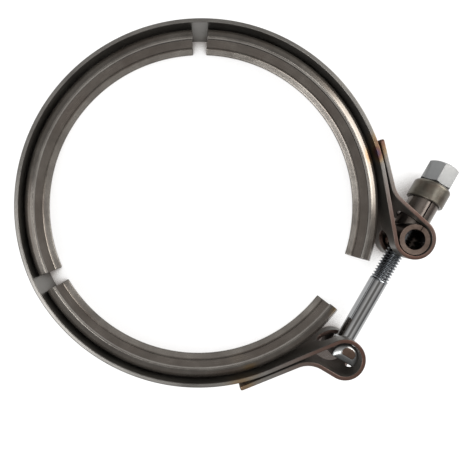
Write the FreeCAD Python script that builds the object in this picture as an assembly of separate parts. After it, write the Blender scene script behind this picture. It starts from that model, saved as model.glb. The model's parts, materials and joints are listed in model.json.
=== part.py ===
import FreeCAD, Part
import os
import math

# V-band clamp with a T-bolt, lying flat: the ring's axis is Z, the band's lower
# edge is at z = 0 and the origin is the centre of the left and right retainers.
# Millimetres and degrees. Azimuths are counter-clockwise from +X.

# strap
BAND_R = 81.0            # outer face of the ring
STRAP_T = 1.8            # strap thickness
BAND_W = 22.4            # strap width, along Z
LAYER_GAP = 0.5          # least gap between the ring and the folded-back tab
NECK_R = 11.0            # outer face of the bend between tab and loop
TAB_CORNER = 1.0         # rounded corners of the tab's end
NUGGET_D = 5.0           # spot welds that hold the tab to the ring
NUGGET_PITCH = 11.0      # the two welds of a tab, across the width

# retainers: rolled channels with a welded crown and two sloping lips
SHEET_T = 1.5            # channel thickness
CROWN_HALF = 4.2         # half width of the flat crown, at mid thickness
KNEE_HALF = 9.3          # half width at the knee, at mid thickness
KNEE_DROP = 2.55         # crown to knee, radially
LIP_DROP = 3.2           # knee to tip, radially
LIP_SPREAD = 1.2         # knee to tip, along Z
KNEE_BEND = 1.6          # bend radius at mid thickness, made as one flat across it
WELD_FIT = 0.05          # crown to strap
LEFT_FROM, LEFT_TO = 93.0, 203.5
RIGHT_FROM, RIGHT_TO = -18.2, 88.0
LOWER_TO = -38.2         # end of the bottom retainer, about its own centre
LOWER_GAP = 5.4          # strap left bare between left and bottom retainers
LOWER_FLEX = 1.94        # bend of that bare strap beyond the ring's own curve

# T-bolt and what it carries; distances run along the bolt from the head's axis
HEAD_R = 5.65            # T-head, lying along Z
HEAD_FLAT = 2.4          # flat of the head, behind its axis
HEAD_CHAMFER = 1.6       # both ends, round side
HEAD_BEVEL = 2.6         # both ends, flat side
SHANK_R = 3.92
THREAD_R = 3.97
THREAD_FROM = 36.0
BOLT_END = 95.3
BOLT_CHAMFER = 0.9
BOLT_ANGLE = 60.0        # azimuth of the bolt, head to nut
TRUNNION_AT = 58.8
TRUNNION_R = 6.6
TRUNNION_WALL = 2.1
TRUNNION_PLAY = 0.53     # bolt in its cross hole, radially
TRUNNION_CHAMFER = 0.5
TRUNNION_SEAM_AT = 57.0  # azimuth of the rolled tube's seam
SEAM = 0.45              # width of the seams of both rolled tubes
SLEEVE_R = 6.6
SLEEVE_PLAY = 0.53       # bolt in the sleeve, radially
SLEEVE_FROM = 5.0        # lower edge of the saddle, from the trunnion's axis
SLEEVE_SEAM_AT = 2.0     # seam, turned from the upper side toward the outside
COLLAR_AT = 19.0         # open end of the collar, from the trunnion's axis
COLLAR_H = 8.8
COLLAR_WALL = 1.4
COLLAR_ROOF = 2.5
COLLAR_PLAY = 0.38       # bolt in the collar's hole, radially
COLLAR_SHOULDER = 2.0
NUT_AF = 12.7
NUT_H = 8.3              # hexagon
NUT_DOME = 1.5
NUT_TOP_R = 4.9
NUT_CORNER_AT = 22.0     # a corner of the hexagon, from the upper side
NUT_CHAMFER = 0.5
RUN_FIT = 0.05           # thread to nut, collar to sleeve
SEAT = 0.3               # head in loop, saddle on trunnion, nut on collar

# loops at the strap's ends
TRUNNION_BEYOND = 11.0   # trunnion's axis past the ring's outer face, along X
TRUNNION_BELOW = 14.6    # and below the ring's centre, along Y
UPPER_PLAY = 0.7         # trunnion in loop, radially
LOWER_PLAY = 1.2         # head in loop, across it
UPPER_TAB_AT = 13.25     # azimuth of the tab's foot of the normal
UPPER_TAB_END = 20.25    # azimuth of the tab's end
UPPER_TURN = 34.25       # tab to neck
UPPER_WELD_AT = 16.5
LOWER_TAB_AT = -68.0     # the same of the lower end, about its own centre
LOWER_TAB_END = -77.6
LOWER_TURN = 53.0
LOWER_WELD_AT = -74.0

# slots in the strap
BOLT_SLOT_PLAY = 1.03    # bolt in its slots, at each side
UPPER_SLOT = (0.78, 92.0)   # before the loop, past the bolt's radius; degrees round it
LOWER_SLOT = (6.1, 170.0)
SLEEVE_SLOT_PLAY = 0.5   # sleeve in its slot, at each side
SLEEVE_SLOT = (53.0, 9.6)   # degrees before the loop's end, length past it

MID = BAND_W / 2
RING_R = BAND_R - STRAP_T / 2
TAB_R = RING_R + STRAP_T + LAYER_GAP
NECK_MID = NECK_R + STRAP_T / 2
TRUNNION_BORE = TRUNNION_R - TRUNNION_WALL
TRUNNION_HOLE = THREAD_R + TRUNNION_PLAY
SLEEVE_BORE = THREAD_R + SLEEVE_PLAY
COLLAR_BORE = SLEEVE_R + RUN_FIT
COLLAR_R = COLLAR_BORE + COLLAR_WALL
COLLAR_HOLE = THREAD_R + COLLAR_PLAY
BOLT_SLOT_W = (THREAD_R + BOLT_SLOT_PLAY) * 2
SLEEVE_SLOT_W = (SLEEVE_R + SLEEVE_SLOT_PLAY) * 2
UP = FreeCAD.Vector(0, 0, 1)


def unit(azimuth):
    """Unit vector in the plane of the ring."""
    a = math.radians(azimuth)
    return FreeCAD.Vector(math.cos(a), math.sin(a), 0)


def at(step, s):
    """Point and heading at length s of a step."""
    start, heading, length, bend = step
    if bend == 0:
        return start + unit(heading) * s, heading
    side = 90 if bend > 0 else -90
    centre = start + unit(heading + side) * abs(bend)
    turned = heading + math.degrees(s / bend)
    return centre - unit(turned + side) * abs(bend), turned


def walk(start, heading, moves):
    """Path of straights (length,) and bends (radius, turn) that meet tangentially."""
    path = []
    for move in moves:
        if len(move) == 1:
            step = (start, heading, move[0], 0)
        else:
            radius, turn = move
            bend = math.copysign(radius, turn)
            step = (start, heading, radius * math.radians(abs(turn)), bend)
        path.append(step)
        start, heading = at(step, step[2])
    return path


def back(path):
    """The same path, walked the other way."""
    turned = []
    for step in reversed(path):
        end, heading = at(step, step[2])
        turned.append((end, heading + 180, step[2], -step[3]))
    return turned


def portion(path, s0, s1):
    """The steps between two lengths of a path."""
    found = []
    done = 0
    for step in path:
        a = max(s0 - done, 0)
        b = min(s1 - done, step[2])
        if b > a:
            start, heading = at(step, a)
            found.append((start, heading, b - a, step[3]))
        done += step[2]
    return found


def side_edge(step, offset):
    """Edge at an offset to the left of a step."""
    points = []
    for part in (0, 0.5, 1):
        p, heading = at(step, part * step[2])
        points.append(p + unit(heading + 90) * offset)
    if step[3] == 0:
        return Part.LineSegment(points[0], points[2]).toShape()
    return Part.Arc(*points).toShape()


def ribbon(path, thickness):
    """Face of even thickness along a path."""
    half = thickness / 2
    left = [side_edge(s, half) for s in path]
    right = [side_edge(s, half) for s in back(path)]
    first, heading = at(path[0], 0)
    last, out = at(path[-1], path[-1][2])
    across = unit(heading + 90) * half
    over = unit(out + 90) * half
    tail = Part.LineSegment(last + over, last - over).toShape()
    head = Part.LineSegment(first - across, first + across).toShape()
    return Part.Face(Part.Wire(left + [tail] + right + [head]))


def slot(path, s0, s1, width, depth):
    """Cutter of a round-ended slot on the strap's mid width, from s0 to s1."""
    half = width / 2
    inner = portion(path, s0 + half, s1 - half)
    cutter = ribbon(inner, depth).extrude(UP * width)
    cutter.translate(UP * (MID - half))
    ends = [at(inner[0], 0), at(inner[-1], inner[-1][2])]
    for p, heading in ends:
        across = unit(heading + 90)
        foot = p - across * (depth / 2) + UP * MID
        cutter = cutter.fuse(Part.makeCylinder(half, depth, foot, across))
    return cutter


def strap_end(centre, way, loop, loop_r, tab_at, tab_end, turn):
    """Path off the ring, round a loop and back over the ring; way is +1 or -1
    for leaving counter-clockwise or clockwise. Gives the azimuth where it leaves."""
    reach = loop - centre
    lean = math.degrees(math.acos((RING_R + loop_r) / reach.Length))
    toward = math.degrees(math.atan2(reach.y, reach.x))
    leave = toward - way * lean
    run = math.sqrt(reach.Length ** 2 - (RING_R + loop_r) ** 2)
    start = centre + unit(leave) * RING_R
    heading = leave + way * 90
    # the straight that leaves the loop meets the tab's straight at a corner
    tab_way = tab_at - way * 90
    neck_way = tab_way - way * turn
    wrap = (way * (heading - neck_way)) % 360
    off = loop - unit(neck_way - way * 90) * loop_r
    normal = unit(tab_at)
    short = TAB_R - (off - centre).dot(normal)
    corner = off + unit(neck_way) * (short / unit(neck_way).dot(normal))
    cut = NECK_MID * math.tan(math.radians(turn / 2))
    foot = centre + normal * TAB_R
    tab = TAB_R * math.tan(math.radians(way * (tab_at - tab_end)))
    tail = tab + (foot - corner).dot(unit(tab_way)) - cut
    moves = [(run,), (loop_r, -way * wrap), ((corner - off).Length - cut,)]
    moves += [(NECK_MID, way * turn), (tail,)]
    return leave, walk(start, heading, moves)


def length(path):
    return sum(step[2] for step in path)


# centres of the ring's two arcs: the bare strap of the lower gap is bent tighter
origin = FreeCAD.Vector(0, 0, 0)
gap_turn = LOWER_GAP + LOWER_FLEX
gap_r = RING_R * LOWER_GAP / gap_turn
lower = (unit(LEFT_TO) - unit(LEFT_TO + gap_turn)) * (RING_R - gap_r)

trunnion_at = FreeCAD.Vector(BAND_R + TRUNNION_BEYOND, -TRUNNION_BELOW, 0)
bolt_way = unit(BOLT_ANGLE)
head_at = trunnion_at - bolt_way * TRUNNION_AT
upper_r = TRUNNION_R + UPPER_PLAY + STRAP_T / 2
lower_r = HEAD_R + SEAT + LOWER_PLAY + STRAP_T / 2
upper_loop = trunnion_at + bolt_way * (UPPER_PLAY - SEAT)
lower_loop = head_at - bolt_way * LOWER_PLAY

leave_up, end_up = strap_end(origin, -1, upper_loop, upper_r,
                             UPPER_TAB_AT, UPPER_TAB_END, UPPER_TURN)
leave_low, end_low = strap_end(lower, 1, lower_loop, lower_r,
                               LOWER_TAB_AT, LOWER_TAB_END, LOWER_TURN)
ring = walk(unit(leave_up) * RING_R, leave_up + 90,
            [(RING_R, LEFT_TO - leave_up), (gap_r, gap_turn),
             (RING_R, 360 + leave_low - LEFT_TO - gap_turn)])

# band: one strap, slotted for the bolt and the sleeve, its tabs spot welded down
band = ribbon(back(end_up) + ring + end_low, STRAP_T).extrude(UP * BAND_W)
corners = []
for path in (end_up, end_low):
    tip, heading = at(path[-1], path[-1][2])
    for edge in band.Edges:
        mid = edge.CenterOfMass
        flat = math.hypot(mid.x - tip.x, mid.y - tip.y)
        if flat < STRAP_T / 4 and abs(mid.z - MID) > MID - 0.01:
            corners.append(edge)
band = band.makeFillet(TAB_CORNER, corners)
loop_up = end_up[0][2]
loop_low = end_low[0][2]
wrapped = loop_up + end_up[1][2]
cutters = [
    slot(end_up, loop_up - THREAD_R - UPPER_SLOT[0], loop_up + upper_r * math.radians(UPPER_SLOT[1]),
         BOLT_SLOT_W, STRAP_T * 2.2),
    slot(end_low, loop_low - LOWER_SLOT[0], loop_low + lower_r * math.radians(LOWER_SLOT[1]),
         BOLT_SLOT_W, STRAP_T * 2.2),
    slot(end_up, wrapped - upper_r * math.radians(SLEEVE_SLOT[0]), wrapped + SLEEVE_SLOT[1],
         SLEEVE_SLOT_W, STRAP_T * 3.2)]
band = band.cut(cutters)
for centre, azimuth, tab_at in ((origin, UPPER_WELD_AT, UPPER_TAB_AT),
                                (lower, LOWER_WELD_AT, LOWER_TAB_AT)):
    spread = TAB_R / math.cos(math.radians(azimuth - tab_at)) - RING_R
    for z in (MID - NUGGET_PITCH / 2, MID + NUGGET_PITCH / 2):
        foot = centre + unit(azimuth) * RING_R + UP * z
        band = band.fuse(Part.makeCylinder(NUGGET_D / 2, spread, foot, unit(azimuth)))


def blunt(points, radius):
    """Points of a line whose inner corners are cut where bends of a radius would start."""
    cut = [points[0]]
    for a, b, c in zip(points, points[1:], points[2:]):
        into = (b - a).normalize()
        out = (c - b).normalize()
        back_off = radius * math.tan(into.getAngle(out) / 2)
        cut += [b - into * back_off, b + out * back_off]
    return cut + [points[-1]]


def beside(points, offset):
    """Points of the line at an offset to the left of a line of straights."""
    ways = [(b - a).normalize() for a, b in zip(points, points[1:])]
    moved = []
    for p, into, out in zip(points, ways[:1] + ways, ways + ways[-1:]):
        normal = UP.cross(into + out).normalize()
        moved.append(p + normal * (offset / normal.dot(UP.cross(out))))
    return moved


def retainer(centre, from_az, to_az):
    """Rolled channel about a centre, its crown against the strap."""
    crown = BAND_R - STRAP_T - WELD_FIT - SHEET_T / 2
    knee = crown - KNEE_DROP
    tip = knee - LIP_DROP
    spread = KNEE_HALF + LIP_SPREAD
    rows = [(tip, spread), (knee, KNEE_HALF), (crown, CROWN_HALF)]
    upper = blunt([FreeCAD.Vector(r, z, 0) for r, z in rows], KNEE_BEND)
    middle_line = upper + [FreeCAD.Vector(p.x, -p.y, 0) for p in reversed(upper)]
    outer = beside(middle_line, SHEET_T / 2)
    inner = beside(middle_line, -SHEET_T / 2)
    face = Part.Face(Part.makePolygon(outer + inner[::-1] + outer[:1]))
    face.rotate(origin, FreeCAD.Vector(1, 0, 0), 90)
    face.rotate(origin, UP, from_az)
    solid = face.revolve(origin, UP, to_az - from_az)
    solid.translate(centre + UP * MID)
    return solid


def turned(rows):
    """Solid of revolution about Z from (radius, height) rows."""
    points = [FreeCAD.Vector(r, 0, h) for r, h in rows]
    face = Part.Face(Part.makePolygon(points + points[:1]))
    return face.revolve(origin, UP, 360)


def placed(shape, foot, way):
    """Stand a shape made along Z at foot, along way; its X faces up (+Z)."""
    side = UP.cross(way)
    frame = FreeCAD.Matrix(UP.x, side.x, way.x, foot.x, UP.y, side.y, way.y, foot.y,
                           UP.z, side.z, way.z, foot.z, 0, 0, 0, 1)
    return shape.transformShape(frame)


middle = UP * MID
head_mid = head_at + middle
trunnion_mid = trunnion_at + middle

# T-bolt: a D-section head across the shank, chamfered at both ends
head = Part.makeCylinder(HEAD_R, BAND_W, head_at)
head = head.makeChamfer(HEAD_CHAMFER, [e for e in head.Edges if len(e.Vertexes) == 1])
block = Part.makeBox(BAND_W * 2, BAND_W * 2, BAND_W * 2)
block.translate(FreeCAD.Vector(-BAND_W, -BAND_W, -BAND_W * 2 - HEAD_FLAT))
head = head.cut(placed(block, head_mid, bolt_way))
for end in (1, -1):
    tip = FreeCAD.Vector(end * MID, 0, -HEAD_FLAT)
    corner = [tip, tip + FreeCAD.Vector(-end * HEAD_BEVEL, 0, 0),
              tip + FreeCAD.Vector(0, 0, HEAD_BEVEL)]
    wedge = Part.Face(Part.makePolygon(corner + corner[:1])).extrude(
        FreeCAD.Vector(0, HEAD_R * 2, 0))
    wedge.translate(FreeCAD.Vector(0, -HEAD_R, 0))
    head = head.cut(placed(wedge, head_mid, bolt_way))
shank = turned([(0, 0), (SHANK_R, 0), (SHANK_R, THREAD_FROM), (THREAD_R, THREAD_FROM),
                (THREAD_R, BOLT_END - BOLT_CHAMFER), (THREAD_R - BOLT_CHAMFER, BOLT_END),
                (0, BOLT_END)])
t_bolt = head.fuse(placed(shank, head_mid, bolt_way))

# trunnion: a rolled tube lying along Z, drilled across for the bolt
trunnion = Part.makeCylinder(TRUNNION_R, BAND_W, trunnion_at)
trunnion = trunnion.makeChamfer(TRUNNION_CHAMFER,
                                [e for e in trunnion.Edges if len(e.Vertexes) == 1])
trunnion = trunnion.cut(Part.makeCylinder(TRUNNION_BORE, BAND_W, trunnion_at))
drill = Part.makeCylinder(TRUNNION_HOLE, TRUNNION_R * 4,
                          trunnion_mid - bolt_way * TRUNNION_R * 2, bolt_way)
seam = Part.makeBox(TRUNNION_R * 2, SEAM, BAND_W)
seam.translate(FreeCAD.Vector(0, -SEAM / 2, 0))
seam.rotate(origin, UP, TRUNNION_SEAM_AT)
seam.translate(trunnion_at)
trunnion = trunnion.cut([drill, seam])

# sleeve: a rolled tube on the bolt, its foot saddled to the trunnion
roof_at = COLLAR_AT + COLLAR_H - COLLAR_ROOF
sleeve_h = roof_at - RUN_FIT - SLEEVE_FROM
sleeve = Part.makeCylinder(SLEEVE_R, sleeve_h).cut(Part.makeCylinder(SLEEVE_BORE, sleeve_h))
slit = Part.makeBox(SLEEVE_R * 2, SEAM, sleeve_h)
slit.translate(FreeCAD.Vector(0, -SEAM / 2, 0))
slit.rotate(origin, UP, -SLEEVE_SEAM_AT)
sleeve = placed(sleeve.cut(slit), trunnion_mid + bolt_way * SLEEVE_FROM, bolt_way)
sleeve = sleeve.cut(Part.makeCylinder(TRUNNION_R + SEAT, BAND_W, trunnion_at))

# collar: a cap over the sleeve's end, with a rolled shoulder
shoulder = [(COLLAR_R - COLLAR_SHOULDER * (1 - math.cos(math.radians(a))),
             COLLAR_H - COLLAR_SHOULDER * (1 - math.sin(math.radians(a))))
            for a in (0, 45, 90)]
collar = turned([(COLLAR_BORE, 0), (COLLAR_R, 0)] + shoulder +
                [(COLLAR_HOLE, COLLAR_H), (COLLAR_HOLE, COLLAR_H - COLLAR_ROOF),
                 (COLLAR_BORE, COLLAR_H - COLLAR_ROOF)])
collar = placed(collar, trunnion_mid + bolt_way * COLLAR_AT, bolt_way)

# nut: a tall hexagon with a domed top
nut_h = NUT_H + NUT_DOME
corner_r = NUT_AF / 2 / math.cos(math.radians(30))
ring_pts = [unit(NUT_CORNER_AT + 60 * i) * corner_r for i in range(7)]
nut = Part.Face(Part.makePolygon(ring_pts)).extrude(UP * nut_h)
reach = corner_r + NUT_CHAMFER / 50
brow = [(NUT_TOP_R + (reach - NUT_TOP_R) * math.cos(math.radians(a)),
         NUT_H + NUT_DOME * math.sin(math.radians(a))) for a in (0, 45, 90)]
envelope = turned([(0, 0), (NUT_AF / 2, 0), (reach, NUT_CHAMFER)] + brow + [(0, nut_h)])
nut = nut.common(envelope).cut(Part.makeCylinder(THREAD_R + RUN_FIT, nut_h))
nut = placed(nut, trunnion_mid + bolt_way * (COLLAR_AT + COLLAR_H + SEAT), bolt_way)

pieces = {
    "band": band,
    "retainer_left": retainer(origin, LEFT_FROM, LEFT_TO),
    "retainer_right": retainer(origin, RIGHT_FROM, RIGHT_TO),
    "retainer_bottom": retainer(lower, LEFT_TO + gap_turn, 360 + LOWER_TO),
    "t_bolt": t_bolt,
    "trunnion": trunnion,
    "sleeve": sleeve,
    "collar": collar,
    "nut": nut,
}
os.makedirs("parts", exist_ok=True)
for name, shape in pieces.items():
    solid = shape.removeSplitter()
    solid = solid.Solids[0] if len(solid.Solids) == 1 else solid
    solid.exportStep("parts/" + name + ".step")
    box = solid.BoundBox
    print(name, len(solid.Solids), solid.isValid(), round(solid.Volume, 1),
          [round(v, 2) for v in (box.XMin, box.XMax, box.YMin, box.YMax, box.ZMin, box.ZMax)])
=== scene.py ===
import json
import math
import bmesh
import bpy
from mathutils import Matrix, Vector
from mathutils.geometry import tessellate_polygon


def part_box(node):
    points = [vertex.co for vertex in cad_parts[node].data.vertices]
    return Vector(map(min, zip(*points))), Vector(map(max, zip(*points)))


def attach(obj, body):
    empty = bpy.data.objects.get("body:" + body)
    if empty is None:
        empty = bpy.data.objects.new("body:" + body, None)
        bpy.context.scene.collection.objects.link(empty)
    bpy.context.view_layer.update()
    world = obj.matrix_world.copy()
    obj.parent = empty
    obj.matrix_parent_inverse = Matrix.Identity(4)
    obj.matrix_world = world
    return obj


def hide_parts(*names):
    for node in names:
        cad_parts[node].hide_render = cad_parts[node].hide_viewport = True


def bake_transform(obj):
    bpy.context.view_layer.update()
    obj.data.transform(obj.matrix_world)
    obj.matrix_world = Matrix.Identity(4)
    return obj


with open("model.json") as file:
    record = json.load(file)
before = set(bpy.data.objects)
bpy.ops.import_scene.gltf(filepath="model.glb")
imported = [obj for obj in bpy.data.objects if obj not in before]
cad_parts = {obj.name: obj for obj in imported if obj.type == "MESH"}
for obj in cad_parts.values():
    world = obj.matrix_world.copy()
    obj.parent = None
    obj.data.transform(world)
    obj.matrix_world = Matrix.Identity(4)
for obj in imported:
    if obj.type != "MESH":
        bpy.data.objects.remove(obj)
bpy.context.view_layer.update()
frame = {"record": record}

MM = 0.001
TAU = 2 * math.pi
UV_UNIT = 100            # millimetres to one unit of a UV map

# ---------------------------------------------------------------- dimensions
joints = {j["name"]: j for j in frame["record"]["behaviour"]["joints"]}
band_lo, band_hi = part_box("band")
WIDTH = (band_hi.z - band_lo.z) / MM
RING = -band_lo.x / MM
MID = WIDTH / 2


def place(joint):
    x, y, _ = joints[joint]["pos_m"]
    return Vector((x / MM, y / MM))


TRUNNION = place("trunnion_swivel")
HEAD = place("bolt_swivel")
BOLT_WAY = -Vector(joints["spacer_slide"]["axis"]).normalized()
PITCH = joints["spacer_slide"]["range_m"][1] / MM / (joints["nut_spin"]["range_deg"][1] / 360)

STRAP = 1.8              # strap thickness
LAYER_GAP = 0.5          # between the ring and a folded-back tab
NECK = 11.0              # outer face of the bend between tab and loop
TAB_CORNER = 1.0
LEFT_FROM, LEFT_TO = 93.0, 203.5
RIGHT_FROM, RIGHT_TO = -18.2, 88.0
LOWER_TO = -38.2
LOWER_GAP, LOWER_FLEX = 5.4, 1.94
TRUNNION_R, TRUNNION_BORE, TRUNNION_SEAM = 6.6, 4.5, 57.0
UPPER_PLAY, SEAT = 0.7, 0.3
LOWER_LOOP_R, HEAD_R, HEAD_FLAT = 8.95, 5.65, 2.4
UPPER_TAB = (13.25, 20.25, 34.25)    # azimuths of the tab's foot and end, turn to the neck
LOWER_TAB = (-68.0, -77.6, 53.0)
UPPER_WELD, LOWER_WELD = 16.5, -74.0
BOLT_SLOT = 10.0
UPPER_SLOT, LOWER_SLOT = (4.75, 92.0), (6.1, 170.0)
SLEEVE_SLOT_W, SLEEVE_SLOT = 14.2, (53.0, 9.6)
NUGGET, NUGGET_PITCH = 5.0, 11.0

RING_MID = RING - STRAP / 2
TAB_MID = RING_MID + STRAP + LAYER_GAP
NECK_MID = NECK + STRAP / 2


# ---------------------------------------------------------------- plane paths
def unit(azimuth):
    a = math.radians(azimuth)
    return Vector((math.cos(a), math.sin(a)))


def at(step, s):
    """Point and heading at length s of a step (start, heading, length, bend)."""
    start, heading, length, bend = step
    if bend == 0:
        return start + unit(heading) * s, heading
    side = 90 if bend > 0 else -90
    centre = start + unit(heading + side) * abs(bend)
    turned = heading + math.degrees(s / bend)
    return centre - unit(turned + side) * abs(bend), turned


def walk(start, heading, moves):
    path = []
    for move in moves:
        if len(move) == 1:
            step = (start, heading, move[0], 0)
        else:
            step = (start, heading, move[0] * math.radians(abs(move[1])),
                    math.copysign(move[0], move[1]))
        path.append(step)
        start, heading = at(step, step[2])
    return path


def back(path):
    turned = []
    for step in reversed(path):
        end, heading = at(step, step[2])
        turned.append((end, heading + 180, step[2], -step[3]))
    return turned


def length(path):
    return sum(step[2] for step in path)


def along(path, s):
    for step in path:
        if s <= step[2] or step is path[-1]:
            return at(step, s)
        s -= step[2]


def strap_end(centre, way, loop, loop_r, tab):
    """Path off the ring, round a loop and back over the ring."""
    tab_at, tab_end, turn = tab
    reach = loop - centre
    lean = math.degrees(math.acos((RING_MID + loop_r) / reach.length))
    leave = math.degrees(math.atan2(reach.y, reach.x)) - way * lean
    run = math.sqrt(reach.length ** 2 - (RING_MID + loop_r) ** 2)
    heading = leave + way * 90
    tab_way = tab_at - way * 90
    neck_way = tab_way - way * turn
    wrap = (way * (heading - neck_way)) % 360
    off = loop - unit(neck_way - way * 90) * loop_r
    normal = unit(tab_at)
    corner = off + unit(neck_way) * ((TAB_MID - (off - centre).dot(normal))
                                     / unit(neck_way).dot(normal))
    cut = NECK_MID * math.tan(math.radians(turn / 2))
    foot = centre + normal * TAB_MID
    tail = TAB_MID * math.tan(math.radians(way * (tab_at - tab_end)))
    tail += (foot - corner).dot(unit(tab_way)) - cut
    return leave, walk(centre + unit(leave) * RING_MID, heading,
                       [(run,), (loop_r, -way * wrap), ((corner - off).length - cut,),
                        (NECK_MID, way * turn), (tail,)])


gap_turn = LOWER_GAP + LOWER_FLEX
gap_r = RING_MID * LOWER_GAP / gap_turn
LOWER = (unit(LEFT_TO) - unit(LEFT_TO + gap_turn)) * (RING_MID - gap_r)
way2 = BOLT_WAY.xy
upper_r = TRUNNION_R + UPPER_PLAY + STRAP / 2
lower_r = LOWER_LOOP_R - STRAP / 2
UPPER_LOOP = TRUNNION + way2 * (UPPER_PLAY - SEAT)
LOWER_LOOP = HEAD - way2 * (LOWER_LOOP_R - STRAP - HEAD_R - SEAT)
leave_up, end_up = strap_end(Vector((0, 0)), -1, UPPER_LOOP, upper_r, UPPER_TAB)
leave_low, end_low = strap_end(LOWER, 1, LOWER_LOOP, lower_r, LOWER_TAB)
ring_path = walk(unit(leave_up) * RING_MID, leave_up + 90,
                 [(RING_MID, LEFT_TO - leave_up), (gap_r, gap_turn),
                  (RING_MID, 360 + leave_low - LEFT_TO - gap_turn)])
strap_path = back(end_up) + ring_path + end_low


# ---------------------------------------------------------------- mesh helpers
def add(bm, name, body, nodes=(), materials=(), smooth=True):
    """Mesh object in metres from a bmesh in millimetres, in the row frame."""
    bmesh.ops.recalc_face_normals(bm, faces=bm.faces)
    for f in bm.faces:
        f.smooth = smooth
    bm.transform(Matrix.Scale(MM, 4))
    mesh = bpy.data.meshes.new(name)
    bm.to_mesh(mesh)
    bm.free()
    obj = bpy.data.objects.new(name, mesh)
    bpy.context.scene.collection.objects.link(obj)
    for m in materials:
        mesh.materials.append(m)
    if body:
        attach(obj, body)
    if nodes:
        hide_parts(*nodes)
    return obj


def modify(obj, kind, **values):
    m = obj.modifiers.new(kind.title(), kind)
    for k, v in values.items():
        setattr(m, k, v)
    return m


def bake(obj):
    """Apply the modifiers."""
    bpy.context.view_layer.update()
    done = bpy.data.meshes.new_from_object(
        obj.evaluated_get(bpy.context.evaluated_depsgraph_get()))
    obj.modifiers.clear()
    obj.data = done
    return obj


def cutaway(obj, *cutters, how="DIFFERENCE"):
    for c in cutters:
        modify(obj, "BOOLEAN", object=c, operation=how, solver="EXACT")
    bake(obj)
    for c in cutters:
        bpy.data.objects.remove(c)
    return obj


def soften(obj, width, segments=3, angle=32):
    """Round the sharp edges and shade flat faces flat."""
    modify(obj, "BEVEL", width=width * MM, segments=segments, limit_method="ANGLE",
           angle_limit=math.radians(angle), harden_normals=False, use_clamp_overlap=True)
    bake(obj)
    for p in obj.data.polygons:
        p.use_smooth = True
    modify(obj, "WEIGHTED_NORMAL", keep_sharp=True, weight=60)
    return bake(obj)


def loops_to_faces(bm, rings, wrap=False):
    """Quads between closed rings of equal length; wrap joins the last to the first."""
    n = len(rings[0])
    pairs = list(zip(rings, rings[1:])) + ([(rings[-1], rings[0])] if wrap else [])
    for a, b in pairs:
        for i in range(n):
            j = (i + 1) % n
            quad = [a[i], a[j], b[j], b[i]]
            kept = [v for k, v in enumerate(quad) if v is not quad[k - 1]]
            if len(set(kept)) > 2:
                bm.faces.new(kept)


def uv_from(obj, rule):
    """UV map in units of 10 cm from rule(point in mm, face) -> (along, across) in mm."""
    layer = obj.data.uv_layers.get("UVMap") or obj.data.uv_layers.new(name="UVMap")
    verts = obj.data.vertices
    for p in obj.data.polygons:
        for li in p.loop_indices:
            co = verts[obj.data.loops[li].vertex_index].co / MM
            u, v = rule(co, p)
            layer.data[li].uv = (u / UV_UNIT, v / UV_UNIT)


def flat_uv(obj):
    """UV map from the place that each point has on the unbent sheet."""
    uv = obj.data.uv_layers.new(name="UVMap")
    s_of, z_of = obj.data.attributes["flat_s"].data, obj.data.attributes["flat_z"].data
    for li, l in enumerate(obj.data.loops):
        i = l.vertex_index
        uv.data[li].uv = (s_of[i].value / UV_UNIT, z_of[i].value / UV_UNIT)


def lathe_bm(rows, steps=96):
    """Closed solid of revolution about Z from (radius, height) rows."""
    bm = bmesh.new()
    rings = []
    for r, h in rows:
        if r < 1e-6:
            rings.append([bm.verts.new((0, 0, h))] * steps)
        else:
            rings.append([bm.verts.new((r * math.cos(TAU * i / steps),
                                        r * math.sin(TAU * i / steps), h))
                          for i in range(steps)])
    closed = rows[0][0] > 1e-6
    loops_to_faces(bm, rings, wrap=closed)
    return bm


def rounded(rows, radii, segments=4):
    """Closed outline with each corner rounded by an arc of its own radius."""
    pts = [Vector(r) for r in rows]
    out = []
    n = len(pts)
    for i, p in enumerate(pts):
        a, b = pts[i - 1] - p, pts[(i + 1) % n] - p
        angle = a.angle(b)
        r = radii[i]
        if r <= 0 or angle > math.pi - 0.02:
            out.append(p)
            continue
        cut = min(r / math.tan(angle / 2), a.length * 0.49, b.length * 0.49)
        r = cut * math.tan(angle / 2)
        start, end = p + a.normalized() * cut, p + b.normalized() * cut
        centre = p + (a.normalized() + b.normalized()).normalized() * (r / math.sin(angle / 2))
        sa, sb = start - centre, end - centre
        sweep = sa.angle(sb)
        for k in range(segments + 1):
            t = k / segments
            w0 = math.sin((1 - t) * sweep) / math.sin(sweep)
            w1 = math.sin(t * sweep) / math.sin(sweep)
            out.append(centre + sa * w0 + sb * w1)
    return [(v.x, v.y) for v in out]


def stand(foot):
    """Matrix that stands a mesh made along Z on the bolt's line, its X facing up."""
    up = Vector((0, 0, 1))
    side = up.cross(BOLT_WAY)
    m = Matrix((up, side, BOLT_WAY)).transposed().to_4x4()
    m.translation = Vector((foot.x, foot.y, MID))
    return m


# ---------------------------------------------------------------- materials
def node(tree, kind, inputs=None, **values):
    n = tree.nodes.new(kind)
    for k, v in values.items():
        setattr(n, k, v)
    for k, v in (inputs or {}).items():
        if hasattr(v, "bl_rna") and isinstance(v, bpy.types.NodeSocket):
            tree.links.new(v, n.inputs[k])
        else:
            n.inputs[k].default_value = v
    return n


def ramp(tree, value, stops):
    n = node(tree, "ShaderNodeValToRGB", {"Fac": value})
    while len(n.color_ramp.elements) < len(stops):
        n.color_ramp.elements.new(0.5)
    for e, (p, c) in zip(n.color_ramp.elements, stops):
        e.position = p
        e.color = (*c, 1) if len(c) == 3 else c
    return n.outputs["Color"]


def grey(v):
    return (v, v, v)


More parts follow.
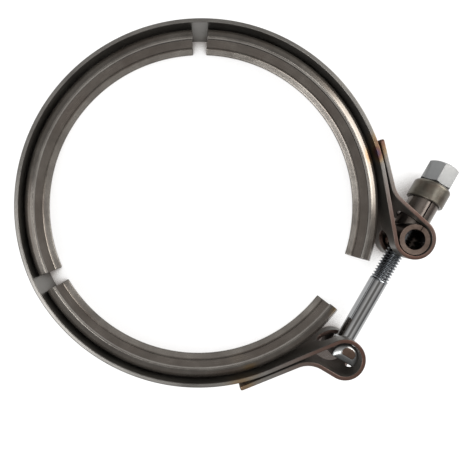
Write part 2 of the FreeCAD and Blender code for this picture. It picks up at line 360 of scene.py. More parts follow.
def mix(tree, fac, a, b, blend="MIX"):
    n = node(tree, "ShaderNodeMix", data_type="RGBA", blend_type=blend)
    for key, v in (("Factor_Float", fac), ("A_Color", a), ("B_Color", b)):
        socket = next(s for s in n.inputs if s.identifier == key)
        if isinstance(v, bpy.types.NodeSocket):
            tree.links.new(v, socket)
        else:
            socket.default_value = v if key == "Factor_Float" else (*v, 1)
    return next(s for s in n.outputs if s.identifier == "Result_Color")


def math_node(tree, op, a, b=0.0, c=0.0):
    n = node(tree, "ShaderNodeMath", operation=op)
    for i, v in enumerate((a, b, c)):
        if isinstance(v, bpy.types.NodeSocket):
            tree.links.new(v, n.inputs[i])
        else:
            n.inputs[i].default_value = v
    return n.outputs[0]


def noise(tree, vector, scale, stretch=(1, 1, 1), detail=3.0, rough=0.5):
    m = node(tree, "ShaderNodeMapping", {"Vector": vector, "Scale": stretch})
    n = node(tree, "ShaderNodeTexNoise", {"Vector": m.outputs[0], "Scale": scale,
                                          "Detail": detail, "Roughness": rough})
    return n.outputs["Fac"]


def metal(name, dark, light, roughness, brush=None, spread=0.08, aniso=0.0, bump=0.12,
          patina=None, patina_amount=0.35, patina_scale=38, heat=False, copper=None,
          metallic=1.0):
    """Metal with a brushed grain along U, slow blotches and an optional patina colour.
    dark and light are the ends of its base colour; brush = (lengthwise, crosswise) scale."""
    mat = bpy.data.materials.new(name)
    mat.use_nodes = True
    t = mat.node_tree
    shader = t.nodes["Principled BSDF"]
    shader.inputs["Metallic"].default_value = metallic
    uv = node(t, "ShaderNodeUVMap", uv_map="UVMap").outputs[0]
    solid = node(t, "ShaderNodeTexCoord").outputs["Object"]
    blotch = noise(t, solid, 70, detail=5, rough=0.6)
    speck = noise(t, solid, 900, detail=2)
    base = ramp(t, blotch, [(0.32, dark), (0.68, light)])
    rough = math_node(t, "MULTIPLY_ADD", math_node(t, "SUBTRACT", blotch, 0.5), spread * 2,
                      roughness)
    height = speck
    if brush:
        fine = noise(t, uv, 1, (brush[0], brush[1], 1), detail=4, rough=0.65)
        wide = noise(t, uv, 1, (brush[0] * 0.35, brush[1] * 0.16, 1), detail=2)
        grain = math_node(t, "ADD", math_node(t, "MULTIPLY", fine, 0.6),
                          math_node(t, "MULTIPLY", wide, 0.4))
        streak = ramp(t, grain, [(0.3, grey(0.62)), (0.5, grey(0.95)), (0.7, grey(1.0))])
        base = mix(t, 0.55, base, streak, "MULTIPLY")
        rough = math_node(t, "MULTIPLY_ADD", math_node(t, "SUBTRACT", grain, 0.5),
                          spread * 3, rough)
        height = math_node(t, "ADD", math_node(t, "MULTIPLY", fine, 0.8),
                           math_node(t, "MULTIPLY", speck, 0.2))
    if patina:
        stain = noise(t, solid, patina_scale, detail=6, rough=0.7)
        where = ramp(t, stain, [(0.42, grey(0)), (0.7, grey(1))])
        base = mix(t, math_node(t, "MULTIPLY", where, patina_amount), base, patina)
    if copper:
        near = node(t, "ShaderNodeAttribute", attribute_name="copper").outputs["Fac"]
        base = mix(t, math_node(t, "MULTIPLY", near, math_node(t, "ADD", blotch, 0.4)), base,
                   copper)
    if heat:
        hot = node(t, "ShaderNodeAttribute", attribute_name="temper").outputs["Fac"]
        wave = math_node(t, "MULTIPLY_ADD", math_node(t, "SUBTRACT", blotch, 0.5), 0.35, hot)
        tint = ramp(t, wave, [(0.0, (0.184, 0.16, 0.128)), (0.3, (0.184, 0.128, 0.068)),
                              (0.5, (0.136, 0.064, 0.032)), (0.7, (0.088, 0.032, 0.048)),
                              (0.85, (0.036, 0.04, 0.08)), (1.0, (0.12, 0.132, 0.144))])
        share = ramp(t, wave, [(0.06, grey(0)), (0.3, grey(0.85))])
        base = mix(t, share, base, tint)
    t.links.new(base, shader.inputs["Base Color"])
    t.links.new(math_node(t, "MINIMUM", math_node(t, "MAXIMUM", rough, 0.06), 0.9),
                shader.inputs["Roughness"])
    b = node(t, "ShaderNodeBump", {"Height": height, "Strength": bump, "Distance": 0.00006})
    t.links.new(b.outputs[0], shader.inputs["Normal"])
    if aniso:
        shader.inputs["Anisotropic"].default_value = aniso
        t.links.new(node(t, "ShaderNodeTangent", direction_type="UV_MAP",
                         uv_map="UVMap").outputs[0], shader.inputs["Tangent"])
    return mat


strap_face = metal("strap_face", (0.12, 0.114, 0.104), (0.188, 0.18, 0.166), 0.36,
                   brush=(5, 420), aniso=0.4, heat=True, patina=(0.096, 0.08, 0.066),
                   metallic=0.7)
strap_cut = metal("strap_cut", (0.132, 0.126, 0.118), (0.2, 0.192, 0.18), 0.36,
                  brush=(30, 300), heat=True, bump=0.25, copper=(0.096, 0.054, 0.042),
                  metallic=0.85)
rolled = metal("rolled_steel", (0.132, 0.118, 0.105), (0.212, 0.195, 0.174), 0.23,
               brush=(4, 520), aniso=0.5, heat=True, patina=(0.088, 0.062, 0.048),
               patina_amount=0.55, metallic=0.76)
# Darker copy of the rolled steel for the channel's inward faces: painted shade.
rolled_painted_shade = metal("rolled_painted_shade", (0.078, 0.067, 0.057), (0.130, 0.114, 0.099), 0.25,
                   brush=(4, 520), aniso=0.5, heat=True, patina=(0.055, 0.04, 0.032),
                   patina_amount=0.5, metallic=0.76)
# Lighter, smoother steel for sheared tips and caps: their own cut finish plus a painted highlight
# line.
rolled_cut_and_highlight = metal("rolled_cut_and_highlight", (0.144, 0.132, 0.12), (0.24, 0.224, 0.204), 0.24,
                   brush=(30, 300), bump=0.2, metallic=0.92)
plated_head = metal("plated_head", (0.184, 0.188, 0.188), (0.272, 0.276, 0.276), 0.28, bump=0.35)
plated = metal("plated_bolt", (0.288, 0.292, 0.296), (0.36, 0.364, 0.368), 0.09, spread=0.03,
               bump=0.05)
thread_steel = metal("plated_thread", (0.144, 0.156, 0.168), (0.24, 0.252, 0.264), 0.18, bump=0.1)
sheared = metal("sheared_end", (0.052, 0.034, 0.026), (0.104, 0.072, 0.056), 0.42, bump=0.5)
tube_steel = metal("tube_steel", (0.108, 0.094, 0.084), (0.168, 0.148, 0.136), 0.22,
                   brush=(6, 260), patina=(0.08, 0.056, 0.04), patina_scale=140)
tube_end = metal("tube_end", (0.068, 0.048, 0.038), (0.2, 0.152, 0.128), 0.25, spread=0.14,
                 bump=0.4, metallic=0.9)
sleeve_steel = metal("sleeve_steel", (0.116, 0.102, 0.092), (0.2, 0.178, 0.16), 0.19,
                     brush=(8, 240), patina=(0.068, 0.04, 0.032), patina_amount=0.5,
                     patina_scale=140, metallic=0.9)
collar_steel = metal("collar_steel", (0.115, 0.107, 0.087), (0.178, 0.166, 0.139), 0.33,
                     brush=(8, 160), patina=(0.08, 0.052, 0.04), patina_amount=0.75,
                     patina_scale=130, metallic=0.8)
nut_steel = metal("nut_plate", (0.27, 0.278, 0.282), (0.335, 0.342, 0.345), 0.36, spread=0.05,
                  bump=0.35, metallic=0.62)


# ---------------------------------------------------------------- the strap
def outline(s0, s1, z0, z1, radii, steps=8):
    """Rounded rectangle; radii of its corners (s0z0, s1z0, s1z1, s0z1)."""
    corners = [(s0, z0, 1, 1, 180), (s1, z0, -1, 1, 270), (s1, z1, -1, -1, 0),
               (s0, z1, 1, -1, 90)]
    pts = []
    for (s, z, ds, dz, a0), r in zip(corners, radii):
        r = max(r, 0.01)
        for k in range(steps + 1):
            a = math.radians(a0 + 90 * k / steps)
            pts.append((s + ds * r + r * math.cos(a), z + dz * r + r * math.sin(a)))
    return pts


def strap(name, s0, s1, free0, free1, holes, bevel=0.42, rounds=4):
    """Punched flat with rounded edges, then bent along strap_path."""
    bm = bmesh.new()
    levels = [(-1, 90 - 90 * k / rounds) for k in range(rounds + 1)]
    levels += [(1, 90 * k / rounds) for k in range(rounds + 1)]
    sheets = {0: [], len(levels) - 1: []}
    for hole in [None] + holes:
        rings = []
        for i, (side, phi) in enumerate(levels):
            phi = math.radians(phi)
            inset = bevel * (1 - math.cos(phi))
            n = side * (STRAP / 2 - bevel * (1 - math.sin(phi)))
            if hole is None:
                ins0, ins1 = inset * free0, inset * free1
                pts = outline(s0 + ins0, s1 - ins1, inset, WIDTH - inset,
                              [(TAB_CORNER - inset) * free0, (TAB_CORNER - inset) * free1,
                               (TAB_CORNER - inset) * free1, (TAB_CORNER - inset) * free0])
            else:
                h0, h1, w = hole
                r = w / 2 + inset
                pts = outline(h0 - inset, h1 + inset, MID - r, MID + r, [r] * 4)
            ring = [bm.verts.new((s, n, z)) for s, z in pts]
            rings.append(ring)
            if i in sheets:
                sheets[i].append(ring)
        loops_to_faces(bm, rings)
    for group in sheets.values():
        flat = [v for ring in group for v in ring]
        for tri in tessellate_polygon([[(v.co.x, v.co.z, 0) for v in ring] for ring in group]):
            try:
                bm.faces.new([flat[i] for i in tri])
            except ValueError:
                pass
    bmesh.ops.recalc_face_normals(bm, faces=bm.faces)
    done, cuts = 0, []
    for step in strap_path:
        bend = abs(step[3])
        pace = 5.0 if not bend else max(0.35, min(1.4, bend * 0.045))
        count = max(1, math.ceil(step[2] / pace))
        cuts += [done + step[2] * k / count for k in range(count)]
        done += step[2]
    for s in cuts:
        if s0 + 0.02 < s < s1 - 0.02:
            live = [f for f in bm.faces if max(v.co.x for v in f.verts) > s]
            geom = set(live)
            for f in live:
                geom.update(f.edges)
                geom.update(f.verts)
            bmesh.ops.bisect_plane(bm, geom=list(geom), dist=1e-5, plane_co=(s, 0, 0),
                                   plane_no=(1, 0, 0))
    us = bm.verts.layers.float.new("flat_s")
    vs = bm.verts.layers.float.new("flat_z")
    for f in bm.faces:
        f.material_index = 1 if abs(f.normal.y) < 0.6 else 0
        f.smooth = True
    for v in bm.verts:
        s, n, z = v.co
        v[us], v[vs] = s, z + n
        p, heading = along(strap_path, s)
        p = p + unit(heading + 90) * n
        v.co = (p.x, p.y, z)
    obj = add(bm, name, None, ["band"], (strap_face, strap_cut))
    modify(obj, "WEIGHTED_NORMAL", weight=60)
    bake(obj)
    flat_uv(obj)
    return obj


COPPER_REACH, COPPER_FADE = 34, 24    # reddish cut edges, from a loop's centre


def redden(obj, centres):
    """Attribute copper: 1 at the loops, fading along the strap."""
    values = []
    for v in obj.data.vertices:
        d = min(math.hypot(v.co.x / MM - c.x, v.co.y / MM - c.y) for c in centres)
        values.append(min(max((COPPER_REACH - d) / COPPER_FADE, 0), 1))
    obj.data.attributes.new("copper", "FLOAT", "POINT").data.foreach_set("value", values)


def warm_up(obj, spots):
    """Heat tint round the welds: attribute temper from (x, y, z, reach, amount)."""
    values = []
    for v in obj.data.vertices:
        h = 0.0
        for x, y, z, reach, amount in spots:
            d = (v.co / MM - Vector((x, y, z))).length / reach
            h = max(h, amount * math.exp(-d * d * 1.6))
        values.append(h)
    layer = obj.data.attributes.new("temper", "FLOAT", "POINT")
    layer.data.foreach_set("value", values)


total = length(strap_path)
up_len, low_len = length(end_up), length(end_low)
loop_up, loop_low = end_up[0][2], end_low[0][2]
wrapped = loop_up + end_up[1][2]


def from_up(s):
    """Length on strap_path of a length on the upper end."""
    return up_len - s


def from_low(s):
    return total - low_len + s


split = up_len + RING_MID * math.radians(180 - leave_up)
bolt_hole_up = (from_up(loop_up + upper_r * math.radians(UPPER_SLOT[1])),
                from_up(loop_up - UPPER_SLOT[0]), BOLT_SLOT)
sleeve_hole = (from_up(wrapped + SLEEVE_SLOT[1]),
               from_up(wrapped - upper_r * math.radians(SLEEVE_SLOT[0])), SLEEVE_SLOT_W)
bolt_hole_low = (from_low(loop_low - LOWER_SLOT[0]),
                 from_low(loop_low + lower_r * math.radians(LOWER_SLOT[1])), BOLT_SLOT)
tab_up = at(end_up[-1], end_up[-1][2] - 1)[0]
tab_low = at(end_low[-1], end_low[-1][2] - 1)[0]
weld_up, weld_low = unit(UPPER_WELD) * RING, LOWER + unit(LOWER_WELD) * RING
LIP_R = 74               # middle of a retainer's lip
lip_end = LOWER + unit(LOWER_TO) * LIP_R
spots = [(tab_up.x, tab_up.y, 22, 7, 0.56), (weld_up.x - 2.6, weld_up.y - 0.5, 22, 4.8, 0.86),
         (tab_low.x, tab_low.y, 22, 9, 0.33), (weld_low.x, weld_low.y + 5, 22, 5, 0.36),
         (tab_up.x, tab_up.y, 0, 7, 0.5), (tab_low.x, tab_low.y, 0, 9, 0.4),
         (lip_end.x + 2, lip_end.y - 1, 22, 6, 0.36)]

strap_a = strap("strap_upper", 0, split, 1, 0, [sleeve_hole, bolt_hole_up])
strap_b = strap("strap_lower", split, total, 0, 1, [bolt_hole_low])
for piece in (strap_a, strap_b):
    warm_up(piece, spots)
    redden(piece, (UPPER_LOOP, LOWER_LOOP))


NUGGET_SINK = 0.6        # how far a nugget stays inside both sheets


def nuggets(centre, azimuth, name, body, tab):
    """The two weld nuggets between a tab and the ring."""
    spread = TAB_MID / math.cos(math.radians(azimuth - tab)) - RING_MID
    bm = bmesh.new()
    for z in (MID - NUGGET_PITCH / 2, MID + NUGGET_PITCH / 2):
        top = spread - NUGGET_SINK
        disc = lathe_bm([(0, NUGGET_SINK), (NUGGET / 2, NUGGET_SINK), (NUGGET / 2, top),
                         (0, top)], 32)
        way = unit(azimuth)
        turn = Vector((0, 0, 1)).rotation_difference(Vector((way.x, way.y, 0)))
        foot = centre + way * RING_MID
        disc.transform(Matrix.Translation((foot.x, foot.y, z)) @ turn.to_matrix().to_4x4())
        mesh = bpy.data.meshes.new("disc")
        disc.to_mesh(mesh)
        disc.free()
        bm.from_mesh(mesh)
    obj = add(bm, name, body, (), (strap_cut,))
    obj.data.uv_layers.new(name="UVMap")
    return obj


nuggets(Vector((0, 0)), UPPER_WELD, "weld_upper", "right_end", UPPER_TAB[0])
nuggets(LOWER, LOWER_WELD, "weld_lower", "lower_end", LOWER_TAB[0])


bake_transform(strap_a)
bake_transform(strap_b)


# ---------------------------------------------------------------- retainers
SHEET = 1.5
CROWN_HALF, KNEE_HALF, KNEE_DROP, LIP_DROP, LIP_SPREAD = 4.2, 9.3, 2.55, 3.2, 1.2
SHEET_BEND, WELD_FIT = 2.7, 0.05


def bent(points, radius):
    """Path along straights between points, with equal bends at the inner ones."""
    moves, trim, heading = [], 0, None
    for a, b, c in zip(points, points[1:], points[2:] + [None]):
        run = b - a
        way = math.degrees(math.atan2(run.y, run.x))
        heading = way if heading is None else heading
        ahead = 0
        if c is not None:
            turn = math.degrees(math.atan2(c.y - b.y, c.x - b.x)) - way
            turn = (turn + 180) % 360 - 180
            ahead = radius * math.tan(math.radians(abs(turn) / 2))
        moves.append((run.length - trim - ahead,))
        if c is not None:
            moves.append((radius, turn))
        trim = ahead
    return walk(points[0], heading, moves)


def section(inset, rim=0.42, segments=4):
    """Outline of the rolled channel, rounded at the tips, as (radius, z, way round) rows."""
    crown = RING - STRAP - WELD_FIT - SHEET / 2
    knee = crown - KNEE_DROP
    tip = knee - LIP_DROP
    half = [(tip, KNEE_HALF + LIP_SPREAD), (knee, KNEE_HALF), (crown, CROWN_HALF)]
    rows = half + [(r, -z) for r, z in reversed(half)]
    path = bent([Vector((r, MID + z)) for r, z in rows], SHEET_BEND)
    full = length(path)
    stops = []
    done = 0
    for step in path:
        count = 9 if step[3] else max(2, round(step[2] / 1.2))
        stops += [done + step[2] * k / count for k in range(count)]
        done += step[2]
    stops = [s for s in stops if rim + 0.05 < s < full - rim - 0.05]
    side = SHEET / 2 - inset
    r = max(rim - inset, 0.02)

    def arc(s, n, first):
        turns = [math.radians(first - 90 * k / segments) for k in range(segments + 1)]
        return [(s + r * math.cos(a), n + r * math.sin(a)) for a in turns]

    flat = arc(inset + r, r - side, 270) + arc(inset + r, side - r, 180)
    flat += [(s, side) for s in stops]
    flat += arc(full - inset - r, side - r, 90) + arc(full - inset - r, r - side, 0)
    flat += [(s, -side) for s in reversed(stops)]
    out = []
    run = 0.0
    for i, (s, n) in enumerate(flat):
        if i:
            run += math.hypot(s - flat[i - 1][0], n - flat[i - 1][1])
        p, heading = along(path, min(max(s, 0), full))
        q = p + unit(heading + 90) * n
        out.append((q.x, q.y, run))
    return out


def unit_to(a, b):
    """Level unit vector from point a to point b."""
    return Vector((b.x - a.x, b.y - a.y)).normalized()


def retainer(name, node_name, body, centre, from_az, to_az, rounds=4, bevel=0.3):
    bm = bmesh.new()
    us = bm.verts.layers.float.new("flat_s")
    vs = bm.verts.layers.float.new("flat_z")
    turns = [math.radians(90 * k / rounds) for k in range(rounds + 1)]
    ends = [(bevel * (1 - math.sin(a)), bevel * (1 - math.cos(a))) for a in turns]
    sweep = to_az - from_az
    mean = RING - 4
    count = round(sweep / 0.9)
    places = [(from_az + math.degrees(a / mean), inset) for a, inset in reversed(ends)]
    b = math.degrees(bevel / mean)
    places += [(from_az + b + (sweep - 2 * b) * k / count, 0) for k in range(1, count)]
    places += [(to_az - math.degrees(a / mean), inset) for a, inset in ends]
    rings = []
    cache = {}
    for az, inset in places:
        key = round(inset, 6)
        if key not in cache:
            cache[key] = section(inset)
        ring = []
        for r, z, s in cache[key]:
            p = centre + unit(az) * r
            v = bm.verts.new((p.x, p.y, z))
            v[us], v[vs] = math.radians(az) * mean, s
            ring.append(v)
        rings.append(ring)
    loops_to_faces(bm, rings)
    caps = [bm.faces.new(rings[0]), bm.faces.new(rings[-1])]
    bmesh.ops.recalc_face_normals(bm, faces=bm.faces)
    tip = RING - STRAP / 2 - WELD_FIT - SHEET / 2 - KNEE_DROP - LIP_DROP
    for f in bm.faces:
        mid = f.calc_center_median()
        r = (Vector((mid.x, mid.y)) - Vector((centre.x, centre.y))).length
        inward = f.normal.x * unit_to(mid, centre).x + f.normal.y * unit_to(mid, centre).y
        # The tip rims take the lighter tip steel: cut finish plus a painted highlight line.
        if r < tip + 0.7:
            f.material_index = 1
        # Inward faces in the middle of the channel take the darker copy of the rolled steel:
        # painted shade.
        elif inward > 0.3 and abs(mid.z - MID) < KNEE_HALF - 0.9:
            f.material_index = 2
    for f in caps:
        f.material_index = 1
    obj = add(bm, name, body, [node_name], (rolled, rolled_cut_and_highlight, rolled_painted_shade))
    modify(obj, "WEIGHTED_NORMAL", weight=60)
    bake(obj)
    flat_uv(obj)
    warm_up(obj, spots)
    return obj


retainer("channel_left", "retainer_left", "ring", Vector((0, 0)), LEFT_FROM, LEFT_TO)
retainer("channel_right", "retainer_right", "right_end", Vector((0, 0)), RIGHT_FROM, RIGHT_TO)
retainer("channel_bottom", "retainer_bottom", "lower_end", LOWER, LEFT_TO + gap_turn,
         360 + LOWER_TO)


# ---------------------------------------------------------------- T-bolt
SHANK_R, THREAD_R, THREAD_FROM, BOLT_END = 3.92, 3.97, 36.0, 95.3
BOLT_CHAMFER = 0.9
THREAD_DEPTH = 0.6134 * PITCH


def bolt_bm(steps=72):
    """Shank, run-out, helical thread and pointed end as one closed surface."""
    long = BOLT_END - THREAD_FROM
    form = [(0.0, 0.0), (0.09, 0.0), (0.2, 0.3), (0.4, 0.9), (0.46, 1.0), (0.6, 1.0),
            (0.66, 0.9), (0.86, 0.3), (0.97, 0.0)]
    per = len(form)
    turns = math.ceil(long / PITCH) + 3
    end_r = THREAD_R - BOLT_CHAMFER

    def smooth(t):
        t = min(max(t, 0), 1)
        return t * t * (3 - 2 * t)

    bm = bmesh.new()
    columns = []
    for i in range(steps):
        a = TAU * i / steps
        column = []
        for k in range(-2, turns):
            for t, cut in form:
                h = (k + t + i / steps) * PITCH
                h = min(max(h, 0), long)
                grow = smooth(h / PITCH / 0.8)
                r = SHANK_R + (THREAD_R - SHANK_R) * grow
                r -= THREAD_DEPTH * cut * smooth(h / PITCH / 1.6)
                r = min(r, end_r + (long - h) * 1.0)
                column.append(bm.verts.new((r * math.cos(a), r * math.sin(a),
                                            THREAD_FROM + h)))
        columns.append(column)
    rows = len(columns[0])
    for i in range(steps):
        j = (i + 1) % steps
        shift = 0 if j else per
        for k in range(rows - 1):
            if k + 1 + shift < rows:
                quad = [columns[i][k], columns[j][k + shift], columns[j][k + 1 + shift],
                        columns[i][k + 1]]
                bm.faces.new(quad)
    loose = [v for v in bm.verts if not v.link_faces]
    bmesh.ops.delete(bm, geom=loose, context="VERTS")
    bmesh.ops.remove_doubles(bm, verts=bm.verts, dist=0.0004)
    # shank with its fillet under the head
    fillet = [(SHANK_R + 1.1 * (1 - math.sin(math.radians(a))),
               HEAD_R - 0.25 + 1.1 * (1 - math.cos(math.radians(a))))
              for a in range(0, 91, 15)]
    rings = []
    for r, h in [(SHANK_R + 1.1, 1.0)] + fillet + [(SHANK_R, THREAD_FROM - 0.4)]:
        rings.append([bm.verts.new((r * math.cos(TAU * i / steps),
                                    r * math.sin(TAU * i / steps), h))
                      for i in range(steps)])
    loops_to_faces(bm, rings)
    foot = [e for e in bm.edges if e.is_boundary]
    low = [e for e in foot if abs(e.verts[0].co.z - THREAD_FROM) < 0.01
           and abs(e.verts[1].co.z - THREAD_FROM) < 0.01]
    up = [e for e in foot if abs(e.verts[0].co.z - THREAD_FROM + 0.4) < 0.01
          and abs(e.verts[1].co.z - THREAD_FROM + 0.4) < 0.01]
    bmesh.ops.bridge_loops(bm, edges=low + up)
    rest = [e for e in bm.edges if e.is_boundary]
    bmesh.ops.holes_fill(bm, edges=rest, sides=steps * 2)
    return bm


def head_bm(steps=120):
    """D-section T-head along Z, bevelled to a small raised sheared patch at both ends."""
    eye_b = 1.9                      # both outlines are drawn as seen from here
    half_c, low = 3.0, 0.35

    def outer(a):
        """Reach of the D-section from the eye at an angle from the bolt's way."""
        c = eye_b * math.cos(a)
        ring = -c + math.sqrt(c * c + HEAD_R ** 2 - eye_b ** 2)
        flat = (HEAD_FLAT + eye_b) / max(-math.cos(a), 1e-6)
        return min(ring, flat)

    def inner(a):
        x, y = abs(math.cos(a)) / (HEAD_R - 1.6 - eye_b), abs(math.sin(a)) / half_c
        dome = (x ** 2.4 + y ** 2.4) ** (-1 / 2.4)
        return min(dome, (eye_b - low) / max(-math.cos(a), 1e-6))

    corner = math.acos(-(HEAD_FLAT + eye_b) / outer(math.pi - math.atan2(
        math.sqrt(HEAD_R ** 2 - HEAD_FLAT ** 2), HEAD_FLAT + eye_b)))
    angles = [-corner + 2 * corner * k / steps for k in range(steps + 1)]
    angles += [corner + (TAU - 2 * corner) * k / 16 for k in range(1, 16)]
    levels = [(0.0, 3.2), (0.0, 1.75), (0.06, 1.6), (0.2, 1.32), (0.5, 0.84), (0.8, 0.42),
              (0.95, 0.27), (1.0, 0.25), (1.02, 0.16), (1.06, 0.05), (1.16, 0.0)]
    bm = bmesh.new()
    rings = []
    for share, z in [(t, z) for t, z in reversed(levels)] + \
            [(t, WIDTH - z) for t, z in levels]:
        ring = []
        for a in angles:
            far, near = outer(a), inner(a)
            reach = far + (near - far) * min(share, 1) - max(share - 1, 0) * near
            ring.append(bm.verts.new((z - MID, reach * math.sin(a),
                                      eye_b + reach * math.cos(a))))
        rings.append(ring)
    loops_to_faces(bm, rings)
    caps = [bm.faces.new(rings[0]), bm.faces.new(rings[-1])]
    bmesh.ops.recalc_face_normals(bm, faces=bm.faces)
    for f in bm.faces:
        f.material_index = 1 if abs(f.calc_center_median().x) > MID - 0.24 else 0
    bmesh.ops.triangulate(bm, faces=caps)
    return bm


def stood(bm, name, body, nodes, materials, foot=HEAD):
    bm.transform(stand(foot))
    return add(bm, name, body, nodes, materials)


shank = stood(bolt_bm(), "bolt_shank", "bolt", ["t_bolt"], (plated, thread_steel))
t_head = stood(head_bm(), "bolt_head", "bolt", ["t_bolt"], (plated_head, sheared))


def along_bolt(co, foot=HEAD):
    d = Vector((co.x - foot.x, co.y - foot.y, co.z - MID))
    h = d.dot(BOLT_WAY)
    side = Vector((0, 0, 1)).cross(BOLT_WAY)
    a = math.atan2(d.dot(side), d.z)
    return h, a, (d - BOLT_WAY * h).length


for p in shank.data.polygons:
    h = along_bolt(p.center / MM)[0]
    p.material_index = 1 if h > THREAD_FROM - 0.2 else 0
uv_from(shank, lambda co, f: (along_bolt(co)[0], along_bolt(co)[1] * SHANK_R))
uv_from(t_head, lambda co, f: (co.z, co.x + co.y))
soften(t_head, 0.16, 2, angle=24)


# ---------------------------------------------------------------- rolled tubes
def tube_bm(outer, bore, seam, gap, z0, z1, steps=120, crimp=0.25):
    """Rolled tube along Z with its seam at an angle, its seam edges rounded."""
    half = math.degrees(gap / 2 / outer)
    pts = []
    for k in range(steps + 1):
        a = math.radians(seam + half + (360 - 2 * half) * k / steps)
        pts.append((outer * math.cos(a), outer * math.sin(a)))
    for k in range(steps + 1):
        a = math.radians(seam - half + (2 * half - 360) * k / steps)
        pts.append((bore * math.cos(a), bore * math.sin(a)))
    bend = {0: crimp, steps: crimp, steps + 1: 0.12, 2 * steps + 1: 0.12}
    pts = rounded(pts, [bend.get(k, 0) for k in range(len(pts))], 4)
    bm = bmesh.new()
    rings = [[bm.verts.new((x, y, z)) for x, y in pts] for z in (z0, z1)]
    loops_to_faces(bm, rings)
    for ring in rings:
        bm.faces.new(ring)
    bmesh.ops.recalc_face_normals(bm, faces=bm.faces)
    return bm


def cutter(radius, z0, z1, steps=96):
    """Plain cylinder along Z."""
    return lathe_bm([(0, z0), (radius, z0), (radius, z1), (0, z1)], steps)


TRUNNION_HOLE = 4.5
bm = tube_bm(TRUNNION_R, TRUNNION_BORE, TRUNNION_SEAM, 0.45, 0, WIDTH)
bm.transform(Matrix.Translation((TRUNNION.x, TRUNNION.y, 0)))
trunnion = add(bm, "trunnion_tube", None, ["trunnion"], (tube_steel, tube_end))
bm = cutter(TRUNNION_HOLE, -12, 12)
bm.transform(stand(TRUNNION))
drill = add(bm, "drill", None)
cutaway(trunnion, drill)
soften(trunnion, 0.42, 4)
for p in trunnion.data.polygons:
    p.material_index = 1 if abs(p.normal.z) > 0.55 else 0
uv_from(trunnion, lambda co, f: (co.z, math.atan2(co.y - TRUNNION.y, co.x - TRUNNION.x) * 6))
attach(trunnion, "trunnion")

SLEEVE_R, SLEEVE_BORE, SLEEVE_FROM, SLEEVE_SEAM = 6.6, 4.5, 5.0, 2.0
COLLAR_AT, COLLAR_H, COLLAR_R, COLLAR_ROOF, COLLAR_HOLE = 19.0, 8.8, 8.05, 2.5, 4.35
COLLAR_SHOULDER, COLLAR_LIP, RUN_FIT = 2.0, 0.4, 0.05
roof_at = COLLAR_AT + COLLAR_H - COLLAR_ROOF
bm = tube_bm(SLEEVE_R, SLEEVE_BORE, -SLEEVE_SEAM, 0.45, SLEEVE_FROM, roof_at - RUN_FIT)
sleeve = stood(bm, "sleeve_tube", None, ["sleeve"], (sleeve_steel, rolled_cut_and_highlight),
               foot=TRUNNION)
bm = cutter(TRUNNION_R + SEAT, -2, WIDTH + 2, 160)
bm.transform(Matrix.Translation((TRUNNION.x, TRUNNION.y, 0)))
cutaway(sleeve, add(bm, "saddle", None))
soften(sleeve, 0.3, 3)


def on_sleeve(co, f):
    h, a, _ = along_bolt(co, TRUNNION)
    return a * SLEEVE_R, h


uv_from(sleeve, on_sleeve)
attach(sleeve, "spacer")

rows = [(SLEEVE_R + RUN_FIT, 0), (COLLAR_R, 0), (COLLAR_R, COLLAR_H), (COLLAR_HOLE, COLLAR_H),
        (COLLAR_HOLE, COLLAR_H - COLLAR_ROOF), (SLEEVE_R + RUN_FIT, COLLAR_H - COLLAR_ROOF)]
rows = rounded(rows, [0.25, COLLAR_LIP, COLLAR_SHOULDER, 0.45, 0.1, 0.1], 7)
bm = lathe_bm(rows, 128)
bm.transform(Matrix.Translation((0, 0, COLLAR_AT)))
collar = stood(bm, "collar_cap", "spacer", ["collar"], (collar_steel,), foot=TRUNNION)
uv_from(collar, on_sleeve)
modify(collar, "WEIGHTED_NORMAL", weight=50)
bake(collar)

# ---------------------------------------------------------------- nut
NUT_AF, NUT_H, NUT_DOME, NUT_TOP_R, NUT_CORNER, NUT_CHAMFER = 12.7, 8.3, 1.5, 4.9, 22.0, 0.5
nut_full = NUT_H + NUT_DOME
nut_corner = NUT_AF / 2 / math.cos(math.radians(30))
bm = bmesh.new()
rings = [[bm.verts.new((*(unit(NUT_CORNER + 60 * k) * nut_corner), h)) for k in range(6)]
         for h in (0, nut_full)]
loops_to_faces(bm, rings)
for ring in rings:
    bm.faces.new(ring)
nut_foot = TRUNNION + way2 * (COLLAR_AT + COLLAR_H + SEAT)
nut = stood(bm, "nut_hex", None, ["nut"], (nut_steel,), foot=nut_foot)
brow = [(NUT_TOP_R + (nut_corner - NUT_TOP_R) * math.sin(math.radians(a)) ** 1.5,
         NUT_H + NUT_DOME * max(math.cos(math.radians(a)), 0) ** 1.5) for a in range(0, 91, 9)]
envelope = [(0, 0), (NUT_AF / 2 - 0.1, 0), (nut_corner + 0.02, NUT_CHAMFER)]
envelope += [(r + 0.02, h) for r, h in reversed(brow)] + [(0, nut_full)]
bm = lathe_bm(envelope, 144)
tool = stood(bm, "envelope", None, (), (), foot=nut_foot)
cutaway(nut, tool, how="INTERSECT")
mouth = [(0, -1), (THREAD_R + 1.4, -1), (THREAD_R + 0.75, 0), (THREAD_R + RUN_FIT, 0.7),
         (THREAD_R + RUN_FIT, nut_full - 0.55), (THREAD_R + 0.62, nut_full),
         (THREAD_R + 1.6, nut_full + 1), (0, nut_full + 1)]
tool = stood(lathe_bm(mouth, 96), "mouth", None, (), (), foot=nut_foot)
cutaway(nut, tool)
soften(nut, 0.28, 3, angle=25)
uv_from(nut, lambda co, f: (along_bolt(co)[0], along_bolt(co)[1] * 6))
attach(nut, "nut")


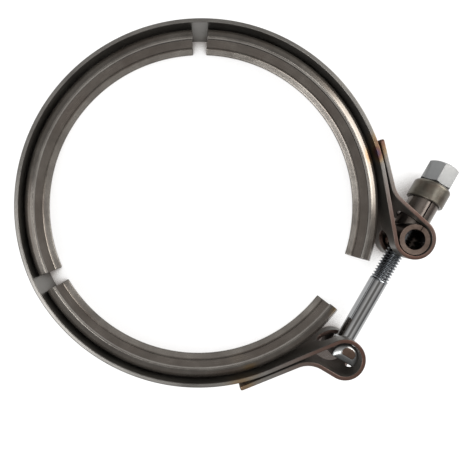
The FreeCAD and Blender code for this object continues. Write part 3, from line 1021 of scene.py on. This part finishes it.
# ---------------------------------------------------------------- stage
floor_mat = bpy.data.materials.new("floor")
floor_mat.use_nodes = True
t = floor_mat.node_tree
t.nodes.clear()
ray = node(t, "ShaderNodeLightPath")
seen = math_node(t, "MAXIMUM", math_node(t, "MAXIMUM", ray.outputs["Is Camera Ray"],
                                         ray.outputs["Is Glossy Ray"]),
                 ray.outputs["Is Transmission Ray"])
# Painted shade: the floor's glow and paper colour darken by ambient occlusion near the parts.
open_sky = node(t, "ShaderNodeAmbientOcclusion", {"Distance": 0.03}, samples=12).outputs["AO"]
shade = ramp(t, open_sky, [(0.2, (0.13, 0.11, 0.10)), (0.34, (0.62, 0.60, 0.58)),
                           (0.43, grey(1.0))])
glow = node(t, "ShaderNodeEmission", {"Color": shade, "Strength": 0.85})
paper = node(t, "ShaderNodeBsdfDiffuse", {"Color": mix(t, 1.0, shade, grey(0.27), "MULTIPLY")})
bright = node(t, "ShaderNodeAddShader", {0: glow.outputs[0], 1: paper.outputs[0]})
dull = node(t, "ShaderNodeBsdfDiffuse", {"Color": (0.6, 0.6, 0.6, 1)})
join = node(t, "ShaderNodeMixShader", {0: seen, 1: dull.outputs[0], 2: bright.outputs[0]})
node(t, "ShaderNodeOutputMaterial", {"Surface": join.outputs[0]})
bm = bmesh.new()
bmesh.ops.create_grid(bm, x_segments=1, y_segments=1, size=600)
bmesh.ops.translate(bm, verts=bm.verts, vec=(0, 0, -0.2))
floor = add(bm, "floor", None, (), (floor_mat,))

world = bpy.data.worlds.new("studio")
bpy.context.scene.world = world
world.use_nodes = True
t = world.node_tree
t.nodes.clear()
sky = node(t, "ShaderNodeSeparateXYZ",
           {0: node(t, "ShaderNodeTexCoord").outputs["Generated"]}).outputs["Z"]
room = ramp(t, sky, [(0.0, grey(1.0)), (0.17, grey(1.0)), (0.21, grey(0.16)),
                     (0.42, grey(0.24)), (0.6, (0.40, 0.39, 0.38)),
                     (0.85, (0.87, 0.85, 0.83)), (0.94, (0.95, 0.93, 0.91)),
                     (0.975, (0.39, 0.38, 0.36)), (1.0, (0.25, 0.24, 0.23))])
light = node(t, "ShaderNodeBackground", {"Color": room, "Strength": 1.0})
node(t, "ShaderNodeOutputWorld", {"Surface": light.outputs[0]})


LAMP_AIM = (10, -10, 11)


def lamp(name, azimuth, elevation, distance, size, glow, colour=(1, 1, 1)):
    """Soft panel that shines with an even glow toward LAMP_AIM; sizes in millimetres."""
    data = bpy.data.lights.new(name, "AREA")
    data.shape = "RECTANGLE"
    data.size, data.size_y = size[0] * MM, size[1] * MM
    data.energy = glow * math.pi * data.size * data.size_y
    data.color = colour
    obj = bpy.data.objects.new(name, data)
    a, e = math.radians(azimuth), math.radians(elevation)
    aim = Vector(LAMP_AIM) * MM
    way = Vector((math.cos(a) * math.cos(e), math.sin(a) * math.cos(e), math.sin(e)))
    obj.location = aim + way * distance * MM
    obj.rotation_euler = way.to_track_quat("Z", "Y").to_euler()
    bpy.context.scene.collection.objects.link(obj)


lamp("key", 22, 28, 520, (330, 200), 7.2, (1.0, 0.965, 0.92))
lamp("top", 212, 60, 520, (210, 210), 7.2)
lamp("side", 186, 28, 560, (260, 140), 1.6)
lamp("back", 22, 60, 520, (170, 130), 3.0)

camera = bpy.data.cameras.new("camera")
camera.lens, camera.sensor_width = 34.67, 36
camera.shift_x, camera.shift_y = 0.0739, -0.0348
camera.clip_start = 0.01
eye = bpy.data.objects.new("camera", camera)
eye.location = (-2.40 * MM, -3.57 * MM, 213.3 * MM)
bpy.context.scene.collection.objects.link(eye)
bpy.context.scene.camera = eye
bpy.context.scene.view_settings.view_transform = "Standard"
